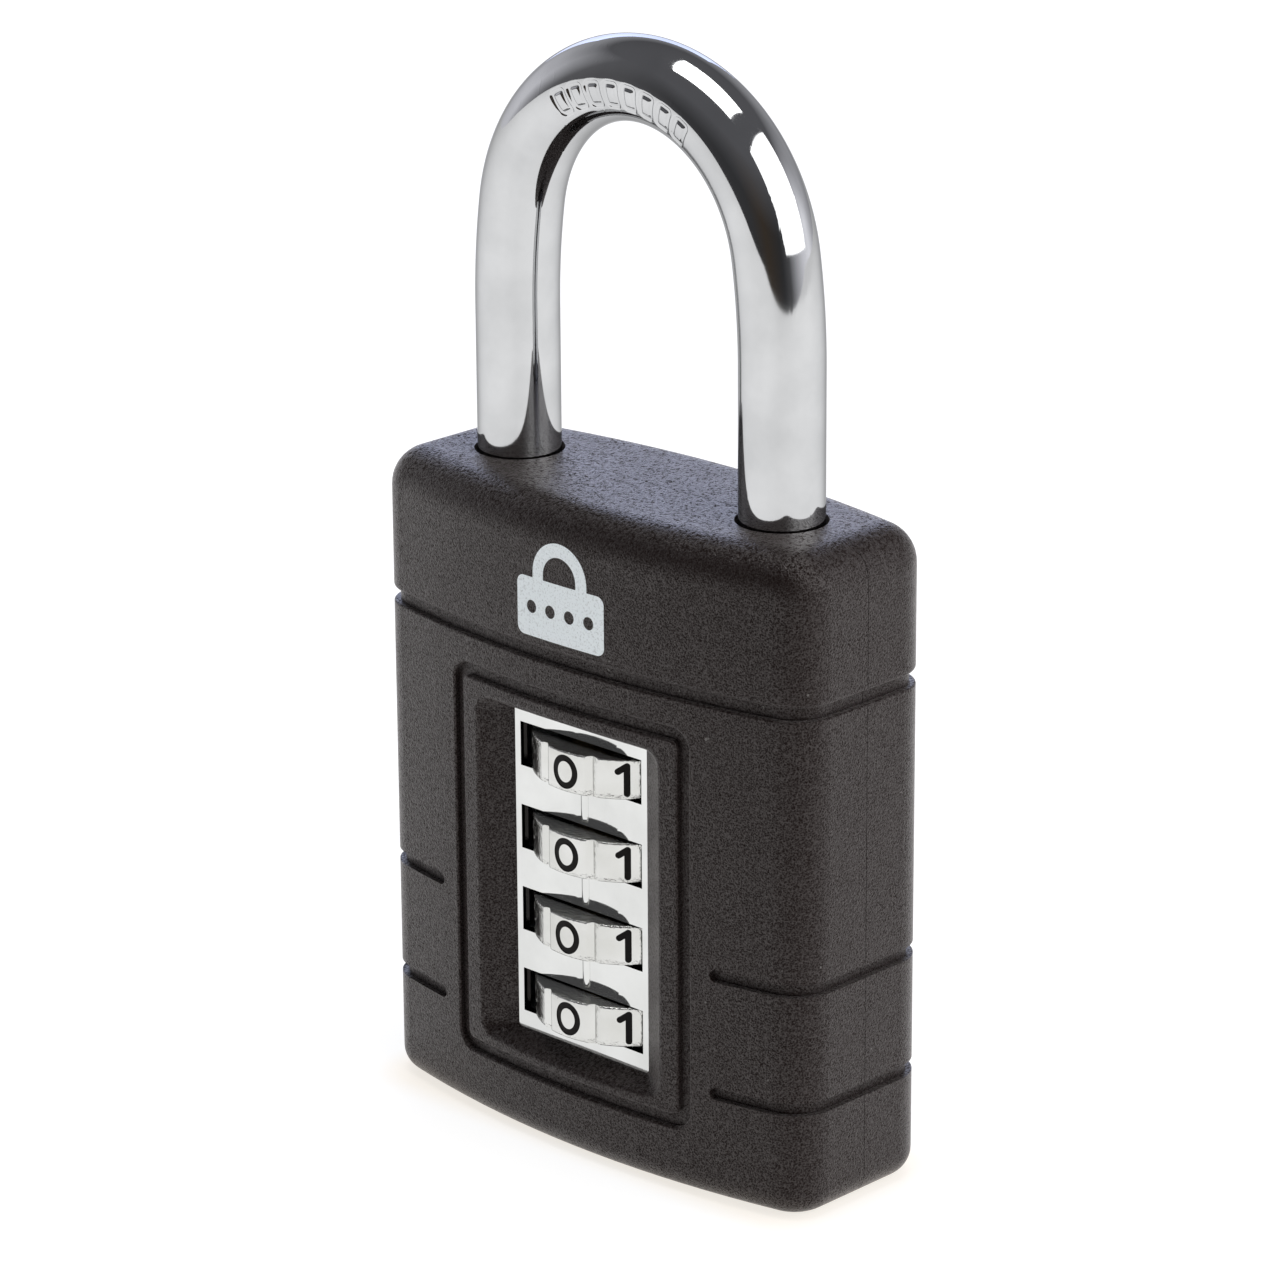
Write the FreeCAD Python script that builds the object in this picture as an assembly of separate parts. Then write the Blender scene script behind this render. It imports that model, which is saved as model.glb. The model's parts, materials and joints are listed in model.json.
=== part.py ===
"""Four-dial combination padlock with a moulded cover and a round steel shackle.

Frame: origin at the middle of the base, +Z up towards the shackle, the dial face
towards -Y, +X to the right of somebody reading the dials. Millimetres throughout.
"""
import FreeCAD, Part
import math
import os

from FreeCAD import Vector

# ---------------------------------------------------------------- driving dimensions
BODY_WIDTH = 65.0
BODY_DEPTH = 28.0
BODY_HEIGHT = 76.0
FACE_BOW_RADIUS = 130.0         # front and rear faces are gently bowed
CORNER_RADIUS = 5.0             # upright corners of the cover
TOP_ROUND = 4.5
BASE_ROUND = 3.0
COVER_WALL = 2.0
SEAM_GAP = 0.07                 # open hairline where the two covers meet
FIT_GAP = 0.25                  # cover to core, all round

SHACKLE_DIAMETER = 9.5
SHACKLE_SPACING = 40.0          # between the centres of the two legs
SHACKLE_TOP = 126.0             # outside of the bow
SHOULDER_RADIUS = 80.0          # centre line, where the legs start to lean in
CROWN_RADIUS = 19.3             # centre line, over the top
COVER_HOLE_DIAMETER = 10.3
BORE_CLEARANCE = 0.08           # radial, shackle leg in the core
HEEL_END = 22.0                 # lower end of the long leg
TOE_DEPTH = 8.5                 # how far the short leg reaches into the body

DIAL_RADIUS = 11.15
DIAL_AXIS_Y = -2.85
DIAL_HEIGHT = 4.7
DIAL_PITCH = 9.8
LOWEST_DIAL_Z = 16.55           # middle of the lowest dial
DIAL_COUNT = 4
DIGIT_STEP = 36.0
INDEX_TURN = 2.6                # the numerals stand a little right of the middle
FLUTE_HALF_WIDTH = 0.82
FLUTE_DEPTH = 0.42
DIAL_EDGE_ROUND = 0.25

DIGIT_HEIGHT = 3.95
DIGIT_STROKE = 0.75
DIGIT_DEPTH = 0.34
INLAY_SINK = 0.1                # black filling, below the dial's surface

PLATE_FRONT_Y = -11.0
PLATE_THICKNESS = 1.0
PLATE_HALF_WIDTH = 10.2         # the part of the plate that shows
PLATE_LOW = 11.8
PLATE_HIGH = 50.55
PLATE_CORNER = 0.5
PLATE_SIDE_MARGIN = 2.2         # hidden under the rim of the well
PLATE_END_MARGIN = 1.6
WINDOW_HALF_WIDTH = 9.35
WINDOW_HEIGHT = 5.2
WINDOW_PITCH = 9.87
LOWEST_WINDOW_Z = 16.5
INDEX_RIB_X = 0.6
INDEX_RIB_RADIUS = 0.62
INDEX_RIB_SINK = 0.3            # how far the rib's centre lies behind the plate's face

GROOVE_DEPTH = 0.75
GROOVE_HEIGHT = 1.5
RING_GROOVE_Z = 57.9            # lower lips of the grooves
SIDE_GROOVES_Z = (26.3, 12.4)
SIDE_GROOVE_END = 20.7
FRAME_HALF_WIDTH = 18.0
FRAME_LOW = 7.7
FRAME_HIGH = 54.6
FRAME_CORNER = 2.4
FRAME_EDGE_ROUND = 0.3
RING_UPPER_LIP_ROUND = 0.5
RING_LOWER_LIP_ROUND = 0.22
WELL_HALF_WIDTH = 16.1          # mouth of the well round the plate
WELL_BELOW_PLATE = 1.65
WELL_ABOVE_PLATE = 1.0
WELL_CORNER = 2.6
WELL_EDGE_ROUND = 0.7

# ---------------------------------------------------------------- worked-out dimensions
HALF_WIDTH = BODY_WIDTH / 2
HALF_DEPTH = BODY_DEPTH / 2
LEG_X = SHACKLE_SPACING / 2
LEG_RADIUS = SHACKLE_DIAMETER / 2
BORE_RADIUS = LEG_RADIUS + BORE_CLEARANCE
CORE_INSET = COVER_WALL + FIT_GAP
FLOOR_Z = 2.2                   # inside of the cover's base
CEILING_Z = 73.4
BASE_PLATE_LOW = FLOOR_Z + 0.1
BASE_PLATE_THICKNESS = 2.0
CORE_LOW = BASE_PLATE_LOW + BASE_PLATE_THICKNESS
CORE_HIGH = CEILING_Z - 0.1
PLATE_BACK_Y = PLATE_FRONT_Y + PLATE_THICKNESS
PAD_HALF_WIDTH = 17.0           # solid part of the front cover round the well
PAD_LOW = 8.6
PAD_HIGH = 53.6
PAD_GAP = 0.3                   # pad to core

RIB_BORE_RADIUS = 8.25          # hole through the core's ribs, for the sleeves
DIAL_SLOT_RADIUS = DIAL_RADIUS + 0.35
DIAL_BORE_RADIUS = 7.25
CLUTCH_RADIUS = 8.0
CLUTCH_TOOTH_WIDTH = 1.3
SLEEVE_RADIUS = 7.05
SLEEVE_HEIGHT = DIAL_PITCH - 0.2
SLEEVE_UNDERCUT_RADIUS = 5.2
WEB_THICKNESS = 2.8
GATE_WIDTH = 2.7
GATE_REACH = 4.95
SPINDLE_RADIUS = 2.6
SPINDLE_RUNNING_GAP = 0.06
FIN_REACH = 4.6
FIN_WIDTH = 2.2
FIN_HEIGHT = 4.0
FIN_TOP_GAP = 0.6

LINK_Z = 53.0
LINK_THICKNESS = 2.4
LINK_ROOM_LOW = 52.3
LINK_ROOM_HIGH = 68.4
HEEL_GROOVE_RADIUS = 3.2
SHELF_Z = 50.8                  # underside of the shelf above the highest sleeve
BACK_PLATE_Y = 9.4
BACK_PLATE_THICKNESS = 1.4
BACK_PLATE_HALF_WIDTH = 14.0
BACK_PLATE_LOW = 9.0
BACK_PLATE_HIGH = 72.0
BACK_SCREW_X = 11.8
BACK_SCREW_INSET = 1.8
SCREW_SHANK_RADIUS = 0.88
SCREW_HEAD_RADIUS = 1.75
SCREW_HEAD_HEIGHT = 0.65
RIVET_RADIUS = 1.2
RIVET_LENGTH = BASE_PLATE_THICKNESS + 3.5
DETENT_HALF_WIDTH = 9.0
DETENT_HEIGHT = 3.6

PIN_X = 27.6
PIN_ZS = (7.4, 68.6)
PIN_RADIUS = 1.0
BOSS_RADIUS = 2.1

EMBLEM_LOW = 60.6
EMBLEM_BLOCK_HEIGHT = 6.8
EMBLEM_HALF_WIDTH = 6.6
EMBLEM_FILM = 0.04

DIAL_AXIS = Vector(0, DIAL_AXIS_Y, 0)
Z_AXIS = Vector(0, 0, 1)
Y_AXIS = Vector(0, 1, 0)


def dial_z(index):
    """Middle height of dial 1 (highest) to dial 4 (lowest)."""
    return LOWEST_DIAL_Z + (DIAL_COUNT - index) * DIAL_PITCH


def window_z(index):
    """Middle height of the plate's window for dial 1 to dial 4."""
    return LOWEST_WINDOW_Z + (DIAL_COUNT - index) * WINDOW_PITCH


# ---------------------------------------------------------------- small helpers
def box(low, high):
    size = [b - a for a, b in zip(low, high)]
    return Part.makeBox(size[0], size[1], size[2], Vector(*low))


def rod(radius, height, base, axis=Z_AXIS):
    return Part.makeCylinder(radius, height, Vector(*base), axis)


def tube(outer, inner, height, base, axis=Z_AXIS):
    return rod(outer, height, base, axis).cut(rod(inner, height, base, axis))


def line(a, b):
    return Part.LineSegment(Vector(*a), Vector(*b)).toShape()


def arc(a, middle, b):
    return Part.Arc(Vector(*a), Vector(*middle), Vector(*b)).toShape()


def prism(edges, direction):
    return Part.Face(Part.Wire(edges)).extrude(Vector(*direction))


def polar(centre, radius, degrees):
    turn = math.radians(degrees)
    return (centre[0] + radius * math.cos(turn), centre[1] + radius * math.sin(turn))


def turned(shape, degrees, centre=DIAL_AXIS):
    moved = shape.copy()
    moved.rotate(centre, Z_AXIS, degrees)
    return moved


def lifted(shape, height):
    moved = shape.copy()
    moved.translate(Vector(0, 0, height))
    return moved


def one_solid(shape):
    """The single solid of a boolean result, with merged faces."""
    shape = shape.removeSplitter()
    return shape.Solids[0] if len(shape.Solids) == 1 else shape


def rounded(shape, radius, wanted):
    """Fillet the edges that wanted(edge) picks."""
    edges = [edge for edge in shape.Edges if wanted(edge)]
    return shape.makeFillet(radius, edges)


def export(name, shape):
    shape.exportStep(f"parts/{name}.step")
    print(f"{name:22s} solids {len(shape.Solids)} volume {shape.Volume:9.1f}"
          f" valid {shape.isValid()}")


# ---------------------------------------------------------------- body outline
def outline(inset, z):
    """Plan outline of the body, moved inwards by inset: two bowed faces, four corners."""
    bow_y = -HALF_DEPTH + FACE_BOW_RADIUS
    corner_x = HALF_WIDTH - CORNER_RADIUS
    corner_y = bow_y - math.sqrt((FACE_BOW_RADIUS - CORNER_RADIUS) ** 2 - corner_x ** 2)
    meet = math.degrees(math.atan2(corner_y - bow_y, corner_x))
    bow = FACE_BOW_RADIUS - inset
    corner = CORNER_RADIUS - inset
    side_x = HALF_WIDTH - inset

    start = polar((0, bow_y), bow, meet)
    middle = polar((corner_x, corner_y), corner, meet / 2)
    end = (side_x, corner_y)
    front_y = bow_y - bow

    def corner_arc(sx, sy):
        a, m, b = [(sx * p[0], sy * p[1], z) for p in (start, middle, end)]
        return arc(a, m, b)

    def at(p, sx, sy):
        return (sx * p[0], sy * p[1], z)

    return [arc(at(start, -1, 1), (0, front_y, z), at(start, 1, 1)),
            corner_arc(1, 1),
            line(at(end, 1, 1), at(end, 1, -1)),
            corner_arc(1, -1),
            arc(at(start, 1, -1), (0, -front_y, z), at(start, -1, -1)),
            corner_arc(-1, -1),
            line(at(end, -1, -1), at(end, -1, 1)),
            corner_arc(-1, 1)]


def slab(inset, low, high):
    return prism(outline(inset, low), (0, 0, high - low))


def rounded_rectangle(half_width, low, high, corner, y):
    """Edges of an upright rounded rectangle in the plane at y."""
    x = half_width
    r = corner
    k = corner * (1 - math.sqrt(0.5))
    return [line((-x + r, y, low), (x - r, y, low)),
            arc((x - r, y, low), (x - k, y, low + k), (x, y, low + r)),
            line((x, y, low + r), (x, y, high - r)),
            arc((x, y, high - r), (x - k, y, high - k), (x - r, y, high)),
            line((x - r, y, high), (-x + r, y, high)),
            arc((-x + r, y, high), (-x + k, y, high - k), (-x, y, high - r)),
            line((-x, y, high - r), (-x, y, low + r)),
            arc((-x, y, low + r), (-x + k, y, low + k), (-x + r, y, low))]


# ---------------------------------------------------------------- covers
def skin():
    """The outermost layer of the body, as deep as the grooves are cut."""
    return slab(-1, -1, BODY_HEIGHT + 1).cut(slab(GROOVE_DEPTH, -2, BODY_HEIGHT + 2))


def side_groove(low, side):
    """Groove round one side, with a round end on the front and on the rear face."""
    r = GROOVE_HEIGHT / 2
    near = side * (SIDE_GROOVE_END + r)
    tip = side * SIDE_GROOVE_END
    far = side * (HALF_WIDTH + 2)
    y = -HALF_DEPTH - 2
    return prism([line((far, y, low), (near, y, low)),
                  arc((near, y, low), (tip, y, low + r), (near, y, low + 2 * r)),
                  line((near, y, low + 2 * r), (far, y, low + 2 * r)),
                  line((far, y, low + 2 * r), (far, y, low))], (0, BODY_DEPTH + 4, 0))


def grooves():
    ring = box((-40, -20, RING_GROOVE_Z), (40, 20, RING_GROOVE_Z + GROOVE_HEIGHT))
    y = -HALF_DEPTH - 2
    frame = prism(rounded_rectangle(FRAME_HALF_WIDTH, FRAME_LOW, FRAME_HIGH, FRAME_CORNER, y),
                  (0, HALF_DEPTH, 0))
    inner = prism(rounded_rectangle(FRAME_HALF_WIDTH - GROOVE_HEIGHT, FRAME_LOW + GROOVE_HEIGHT,
                                    FRAME_HIGH - GROOVE_HEIGHT,
                                    FRAME_CORNER - GROOVE_HEIGHT, y), (0, HALF_DEPTH, 0))
    paths = ring.fuse([side_groove(low, side) for low in SIDE_GROOVES_Z for side in (-1, 1)])
    return skin().common(paths.fuse(frame.cut(inner)))


def recess():
    """Sloping well in front of the dials, narrowing down to the plate."""
    mouth_y = -HALF_DEPTH - 0.4
    mouth = rounded_rectangle(WELL_HALF_WIDTH, PLATE_LOW - WELL_BELOW_PLATE,
                              PLATE_HIGH + WELL_ABOVE_PLATE, WELL_CORNER, mouth_y)
    foot = rounded_rectangle(PLATE_HALF_WIDTH, PLATE_LOW, PLATE_HIGH, PLATE_CORNER, PLATE_FRONT_Y)
    well = Part.makeLoft([Part.Wire(foot), Part.Wire(mouth)], True, True)
    throat = prism(rounded_rectangle(PLATE_HALF_WIDTH, PLATE_LOW, PLATE_HIGH, PLATE_CORNER,
                                     PLATE_FRONT_Y - 0.01), (0, 1, 0))
    return well.fuse(throat)


def body_blank():
    """Both covers as one piece: rounded block, grooves, dial well and cavity."""
    block = slab(0, 0, BODY_HEIGHT)
    block = rounded(block, TOP_ROUND, lambda e: e.BoundBox.ZMin > BODY_HEIGHT - 0.01)
    block = rounded(block, BASE_ROUND, lambda e: e.BoundBox.ZMax < 0.01)
    block = block.cut(grooves())
    lip_z = RING_GROOVE_Z + GROOVE_HEIGHT
    block = rounded(block, RING_UPPER_LIP_ROUND, lambda e: abs(e.BoundBox.ZMin - lip_z) < 0.01
                    and e.BoundBox.ZLength < 0.01 and on_outer_face(e))
    block = rounded(block, RING_LOWER_LIP_ROUND, lambda e: abs(e.BoundBox.ZMin - RING_GROOVE_Z) < 0.01
                    and e.BoundBox.ZLength < 0.01 and on_outer_face(e))
    return block


def on_outer_face(edge):
    """True for an edge that lies on the upright outer face of the body."""
    point = edge.valueAt((edge.FirstParameter + edge.LastParameter) / 2)
    bow_y = -HALF_DEPTH + FACE_BOW_RADIUS
    on_front = abs(math.hypot(point.x, -abs(point.y) - bow_y) - FACE_BOW_RADIUS) < 0.01
    on_side = abs(abs(point.x) - HALF_WIDTH) < 0.01
    on_corner = False
    corner_x = HALF_WIDTH - CORNER_RADIUS
    corner_y = bow_y - math.sqrt((FACE_BOW_RADIUS - CORNER_RADIUS) ** 2 - corner_x ** 2)
    reach = math.hypot(abs(point.x) - corner_x, -abs(point.y) - corner_y)
    if abs(point.x) > corner_x:
        on_corner = abs(reach - CORNER_RADIUS) < 0.01
    return on_front or on_side or on_corner


def lip_edges(block, low_x, high_x, low_z, high_z):
    """Edges on the front face inside a window of x and z."""
    found = []
    for edge in block.Edges:
        bounds = edge.BoundBox
        inside = (bounds.XMin > low_x and bounds.XMax < high_x
                  and bounds.ZMin > low_z and bounds.ZMax < high_z)
        if inside and bounds.YMax < 0 and on_outer_face(edge):
            found.append(edge)
    return found


def covers():
    block = body_blank()
    block = block.cut(recess())
    edges = lip_edges(block, -FRAME_HALF_WIDTH - 0.1, FRAME_HALF_WIDTH + 0.1,
                      FRAME_LOW - 0.1, FRAME_HIGH + 0.1)
    inside_x = FRAME_HALF_WIDTH - GROOVE_HEIGHT - FRAME_EDGE_ROUND - 0.2
    inside_low = FRAME_LOW + GROOVE_HEIGHT + FRAME_EDGE_ROUND + 0.2
    inside_high = FRAME_HIGH - GROOVE_HEIGHT - FRAME_EDGE_ROUND - 0.2
    well = [e for e in edges if abs(e.CenterOfMass.x) < inside_x
            and inside_low < e.CenterOfMass.z < inside_high]
    frame = [e for e in edges if not any(e.isSame(w) for w in well)]
    block = block.makeFillet(FRAME_EDGE_ROUND, frame)
    edges = lip_edges(block, -inside_x, inside_x, inside_low, inside_high)
    block = block.makeFillet(WELL_EDGE_ROUND, edges)

    cavity = slab(COVER_WALL, FLOOR_Z, CEILING_Z)
    pad = box((-PAD_HALF_WIDTH, -HALF_DEPTH + 1, PAD_LOW), (PAD_HALF_WIDTH, PLATE_FRONT_Y, PAD_HIGH))
    pad = pad.cut(recess())
    cavity = cavity.cut(pad)
    posts = []
    for x in (-PIN_X, PIN_X):
        for z in PIN_ZS:
            posts.append(rod(BOSS_RADIUS, BODY_DEPTH, (x, -HALF_DEPTH, z), Y_AXIS))
    cavity = cavity.cut(posts)
    block = block.cut(cavity)
    for x in (-LEG_X, LEG_X):
        block = block.cut(rod(COVER_HOLE_DIAMETER / 2, 8, (x, 0, CEILING_Z - 2)))
    pins = cover_pins()
    block = block.cut(pins)
    half = SEAM_GAP / 2
    front = block.common(box((-40, -20, -1), (40, -half, BODY_HEIGHT + 1)))
    rear = block.common(box((-40, half, -1), (40, 20, BODY_HEIGHT + 1)))
    return one_solid(front), one_solid(rear)


def cover_pins():
    """Four dowels that join the covers through the corners of the core."""
    pins = []
    for x in (-PIN_X, PIN_X):
        for z in PIN_ZS:
            pins.append(rod(PIN_RADIUS, 12.0, (x, -6.0, z), Y_AXIS))
    return Part.makeCompound(pins)


# ---------------------------------------------------------------- core and plates
def bare_core():
    core = slab(CORE_INSET, CORE_LOW, CORE_HIGH)
    core = core.cut(box((-PAD_HALF_WIDTH - PAD_GAP, -20, PAD_LOW - PAD_GAP),
                        (PAD_HALF_WIDTH + PAD_GAP, PLATE_BACK_Y + 0.05, PAD_HIGH + PAD_GAP)))
    for x in (-PIN_X, PIN_X):
        for z in PIN_ZS:
            core = core.cut(rod(BOSS_RADIUS + 0.3, BODY_DEPTH, (x, -HALF_DEPTH, z), Y_AXIS))
    return core


def core_block():
    """Die-cast heart of the lock: two shackle bores, dial slots and the sleeve bore."""
    core = bare_core()
    top = CORE_HIGH + 1
    cuts = [rod(BORE_RADIUS, top - CORE_LOW + 1, (-LEG_X, 0, CORE_LOW - 1)),
            rod(BORE_RADIUS, top, (LEG_X, 0, BODY_HEIGHT - TOE_DEPTH - 1)),
            rod(RIB_BORE_RADIUS, SHELF_Z - CORE_LOW + 1, (0, DIAL_AXIS_Y, CORE_LOW - 1)),
            rod(SLEEVE_UNDERCUT_RADIUS, 3, (0, DIAL_AXIS_Y, SHELF_Z - 1))]
    slot = DIAL_HEIGHT + 0.5
    for index in range(1, DIAL_COUNT + 1):
        low = dial_z(index) - slot / 2
        cuts.append(rod(DIAL_SLOT_RADIUS, slot, (0, DIAL_AXIS_Y, low)))
        cuts.append(box((-DIAL_SLOT_RADIUS, -15, low), (DIAL_SLOT_RADIUS, DIAL_AXIS_Y, low + slot)))
        cuts.append(box((-9.6, 6.5, low + 0.4), (9.6, BACK_PLATE_Y + 0.5, low + slot - 0.4)))
    cuts.append(box((-24.6, -8.2, LINK_ROOM_LOW), (6.6, 6.2, LINK_ROOM_HIGH)))
    cuts.append(box((-9.0, 6.0, LINK_ROOM_LOW), (6.6, 12, LINK_ROOM_HIGH)))
    cuts.append(box((-BACK_PLATE_HALF_WIDTH - 0.2, BACK_PLATE_Y, BACK_PLATE_LOW - 0.2),
                    (BACK_PLATE_HALF_WIDTH + 0.2, 14, BACK_PLATE_HIGH + 0.2)))
    for place in back_screw_places():
        cuts.append(rod(0.9, 5.0, (place[0], BACK_PLATE_Y - 4.5, place[1]), Y_AXIS))
    for place in base_rivet_places():
        cuts.append(rod(RIVET_RADIUS, 4.5, (place[0], place[1], CORE_LOW - 1)))
    return one_solid(core.cut(cuts))


def back_screw_places():
    low = BACK_PLATE_LOW + BACK_SCREW_INSET
    high = BACK_PLATE_HIGH - BACK_SCREW_INSET
    return [(x, z) for x in (-BACK_SCREW_X, BACK_SCREW_X) for z in (low, high)]


def base_rivet_places():
    return [(-13.0, -6.0), (13.0, -6.0), (-12.0, 8.6), (12.0, 8.6)]


def base_plate():
    """Steel plate that closes the underside of the core."""
    high = BASE_PLATE_LOW + BASE_PLATE_THICKNESS
    plate = slab(CORE_INSET, BASE_PLATE_LOW, high)
    for x, y in base_rivet_places():
        plate = plate.cut(rod(RIVET_RADIUS, 5, (x, y, BASE_PLATE_LOW - 1)))
    return one_solid(plate)


def base_rivets():
    rivets = [rod(RIVET_RADIUS, RIVET_LENGTH, (x, y, BASE_PLATE_LOW)) for x, y in base_rivet_places()]
    return Part.makeCompound(rivets)


def core_back_plate():
    """Sheet that closes the rear of the core and backs the detent springs."""
    plate = box((-BACK_PLATE_HALF_WIDTH, BACK_PLATE_Y, BACK_PLATE_LOW),
                (BACK_PLATE_HALF_WIDTH, BACK_PLATE_Y + BACK_PLATE_THICKNESS, BACK_PLATE_HIGH))
    plate = rounded(plate, 2.0, lambda e: e.BoundBox.YLength > 1 and e.BoundBox.ZLength < 0.01)
    for x, z in back_screw_places():
        plate = plate.cut(rod(1.0, 3, (x, BACK_PLATE_Y - 1, z), Y_AXIS))
        plate = plate.cut(rod(SCREW_HEAD_RADIUS + 0.05, 1, (x, BACK_PLATE_Y + 0.7, z), Y_AXIS))
    return one_solid(plate)


def back_plate_screws():
    """Four countersunk-head screws with a cross recess."""
    screws = []
    for x, z in back_screw_places():
        head = rod(SCREW_HEAD_RADIUS, SCREW_HEAD_HEIGHT, (x, BACK_PLATE_Y + 0.72, z), Y_AXIS)
        shank = rod(SCREW_SHANK_RADIUS, 5.0, (x, BACK_PLATE_Y - 4.2, z), Y_AXIS)
        cross = box((x - 1.1, BACK_PLATE_Y + 1.0, z - 0.17), (x + 1.1, 12, z + 0.17)).fuse(
            box((x - 0.17, BACK_PLATE_Y + 1.0, z - 1.1), (x + 0.17, 12, z + 1.1)))
        screws.append(one_solid(head.fuse(shank).cut(cross)))
    return Part.makeCompound(screws)


def dial_plate():
    """Polished plate with a window for each dial and an index rib between windows."""
    outline_edges = rounded_rectangle(PLATE_HALF_WIDTH + PLATE_SIDE_MARGIN,
                                      PLATE_LOW - PLATE_END_MARGIN,
                                      PLATE_HIGH + PLATE_END_MARGIN, 2.0, PLATE_FRONT_Y)
    plate = prism(outline_edges, (0, PLATE_THICKNESS, 0))
    half = WINDOW_HEIGHT / 2
    for index in range(1, DIAL_COUNT + 1):
        z = window_z(index)
        plate = plate.cut(box((-WINDOW_HALF_WIDTH, -20, z - half), (WINDOW_HALF_WIDTH, 0, z + half)))
    rib_y = PLATE_FRONT_Y + INDEX_RIB_SINK
    for index in range(1, DIAL_COUNT):
        top = window_z(index) - half
        bottom = window_z(index + 1) + half + INDEX_RIB_RADIUS + 0.2
        rib = rod(INDEX_RIB_RADIUS, top - bottom, (INDEX_RIB_X, rib_y, bottom))
        nose = Part.makeSphere(INDEX_RIB_RADIUS, Vector(INDEX_RIB_X, rib_y, bottom))
        plate = plate.fuse([rib, nose])
    return one_solid(plate)


# ---------------------------------------------------------------- dials and sleeves
def dial_blank():
    """Ring with ten lands and a V flute between each two, centred on height 0."""
    half_flute = math.degrees(FLUTE_HALF_WIDTH / DIAL_RADIUS)
    low = -DIAL_HEIGHT / 2
    centre = (0, DIAL_AXIS_Y)
    edges = []
    for step in range(10):
        middle = -90 + INDEX_TURN + step * DIGIT_STEP
        a = polar(centre, DIAL_RADIUS, middle - DIGIT_STEP / 2 + half_flute)
        b = polar(centre, DIAL_RADIUS, middle + DIGIT_STEP / 2 - half_flute)
        m = polar(centre, DIAL_RADIUS, middle)
        v = polar(centre, DIAL_RADIUS - FLUTE_DEPTH, middle + DIGIT_STEP / 2)
        c = polar(centre, DIAL_RADIUS, middle + DIGIT_STEP / 2 + half_flute)
        edges += [arc((*a, low), (*m, low), (*b, low)),
                  line((*b, low), (*v, low)),
                  line((*v, low), (*c, low))]
    ring = prism(edges, (0, 0, DIAL_HEIGHT))
    disc = rod(DIAL_RADIUS, DIAL_HEIGHT, (0, DIAL_AXIS_Y, low))
    ring = ring.common(rounded(disc, DIAL_EDGE_ROUND, lambda e: e.BoundBox.XLength > 1))
    ring = ring.cut(rod(DIAL_BORE_RADIUS, 20, (0, DIAL_AXIS_Y, -10)))
    return ring.cut(clutch_teeth(0.1, 20))


def clutch_teeth(gap, height):
    """Ten square teeth round the sleeve, or with a gap the notches that take them."""
    half = CLUTCH_TOOTH_WIDTH / 2 + gap
    reach = CLUTCH_RADIUS + gap
    teeth = []
    for step in range(10):
        tooth = box((6.6, DIAL_AXIS_Y - half, -height / 2), (reach, DIAL_AXIS_Y + half, height / 2))
        teeth.append(turned(tooth, step * DIGIT_STEP))
    return Part.makeCompound(teeth)


def stroke(a, b):
    """Round-ended bar of a numeral, from a to b in the plane of the face."""
    (ax, az), (bx, bz) = a, b
    length = math.hypot(bx - ax, bz - az)
    ux, uz = (bx - ax) / length, (bz - az) / length
    r = DIGIT_STROKE / 2
    nx, nz = -uz * r, ux * r
    return prism([line((ax + nx, 0, az + nz), (bx + nx, 0, bz + nz)),
                  arc((bx + nx, 0, bz + nz), (bx + ux * r, 0, bz + uz * r), (bx - nx, 0, bz - nz)),
                  line((bx - nx, 0, bz - nz), (ax - nx, 0, az - nz)),
                  arc((ax - nx, 0, az - nz), (ax - ux * r, 0, az - uz * r), (ax + nx, 0, az + nz))],
                 (0, -4, 0))


def bowl(cx, cz, radius, start, end):
    """Curved stroke of a numeral, anticlockwise from start to end degrees."""
    r = DIGIT_STROKE / 2
    outer = radius + r
    inner = radius - r
    if end - start >= 360:
        ring = rod(outer, 4, (cx, -4, cz), Y_AXIS)
        return ring.cut(rod(inner, 4, (cx, -4, cz), Y_AXIS))

    def at(size, degrees):
        x, z = polar((cx, cz), size, degrees)
        return (x, 0, z)

    middle = (start + end) / 2
    return prism([arc(at(outer, start), at(outer, middle), at(outer, end)),
                  line(at(outer, end), at(inner, end)),
                  arc(at(inner, end), at(inner, middle), at(inner, start)),
                  line(at(inner, start), at(outer, start))], (0, -4, 0))


def oval(rx, rz):
    """Upright oval ring, the numeral nought."""
    r = DIGIT_STROKE / 2

    def disc(grow):
        major, minor = rz + grow, rx + grow
        ellipse = Part.Ellipse(Vector(0, 0, major), Vector(minor, 0, 0), Vector(0, 0, 0))
        return Part.Face(Part.Wire([ellipse.toShape()])).extrude(Vector(0, -4, 0))

    return disc(r).cut(disc(-r))


def numeral(digit):
    """Strokes of one numeral, centred on the origin, running towards -Y."""
    e = DIGIT_HEIGHT / 2 - DIGIT_STROKE / 2
    shapes = {
        0: [oval(1.4, e)],
        1: [stroke((0.55, -e), (0.55, e)), stroke((0.55, e), (-0.45, 0.95))],
        2: [bowl(0, 0.55, e - 0.55, -35, 165), stroke((0.83, -0.02), (-1.0, -e)),
            stroke((-1.0, -e), (1.1, -e))],
        3: [bowl(0, 0.75, e - 0.75, -90, 150), bowl(0, -0.7, e - 0.7, -150, 90)],
        4: [stroke((0.5, -e), (0.5, e)), stroke((0.5, e), (-1.2, -0.7)),
            stroke((-1.2, -0.7), (1.2, -0.7))],
        5: [stroke((0.95, e), (-0.8, e)), stroke((-0.8, e), (-0.9, 0.15)),
            bowl(0, -0.55, e - 0.55, -150, 140)],
        6: [bowl(0, -0.6, e - 0.6, 0, 360), stroke((-0.83, -0.05), (0.45, e))],
        7: [stroke((-1.1, e), (1.1, e)), stroke((1.1, e), (-0.3, -e))],
        8: [bowl(0, 0.8, e - 0.8, 0, 360), bowl(0, -0.7, e - 0.7, 0, 360)],
        9: [bowl(0, 0.6, e - 0.6, 0, 360), stroke((0.83, 0.05), (-0.45, -e))],
    }
    pieces = shapes[digit]
    return pieces[0].fuse(pieces[1:]) if len(pieces) > 1 else pieces[0]


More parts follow.
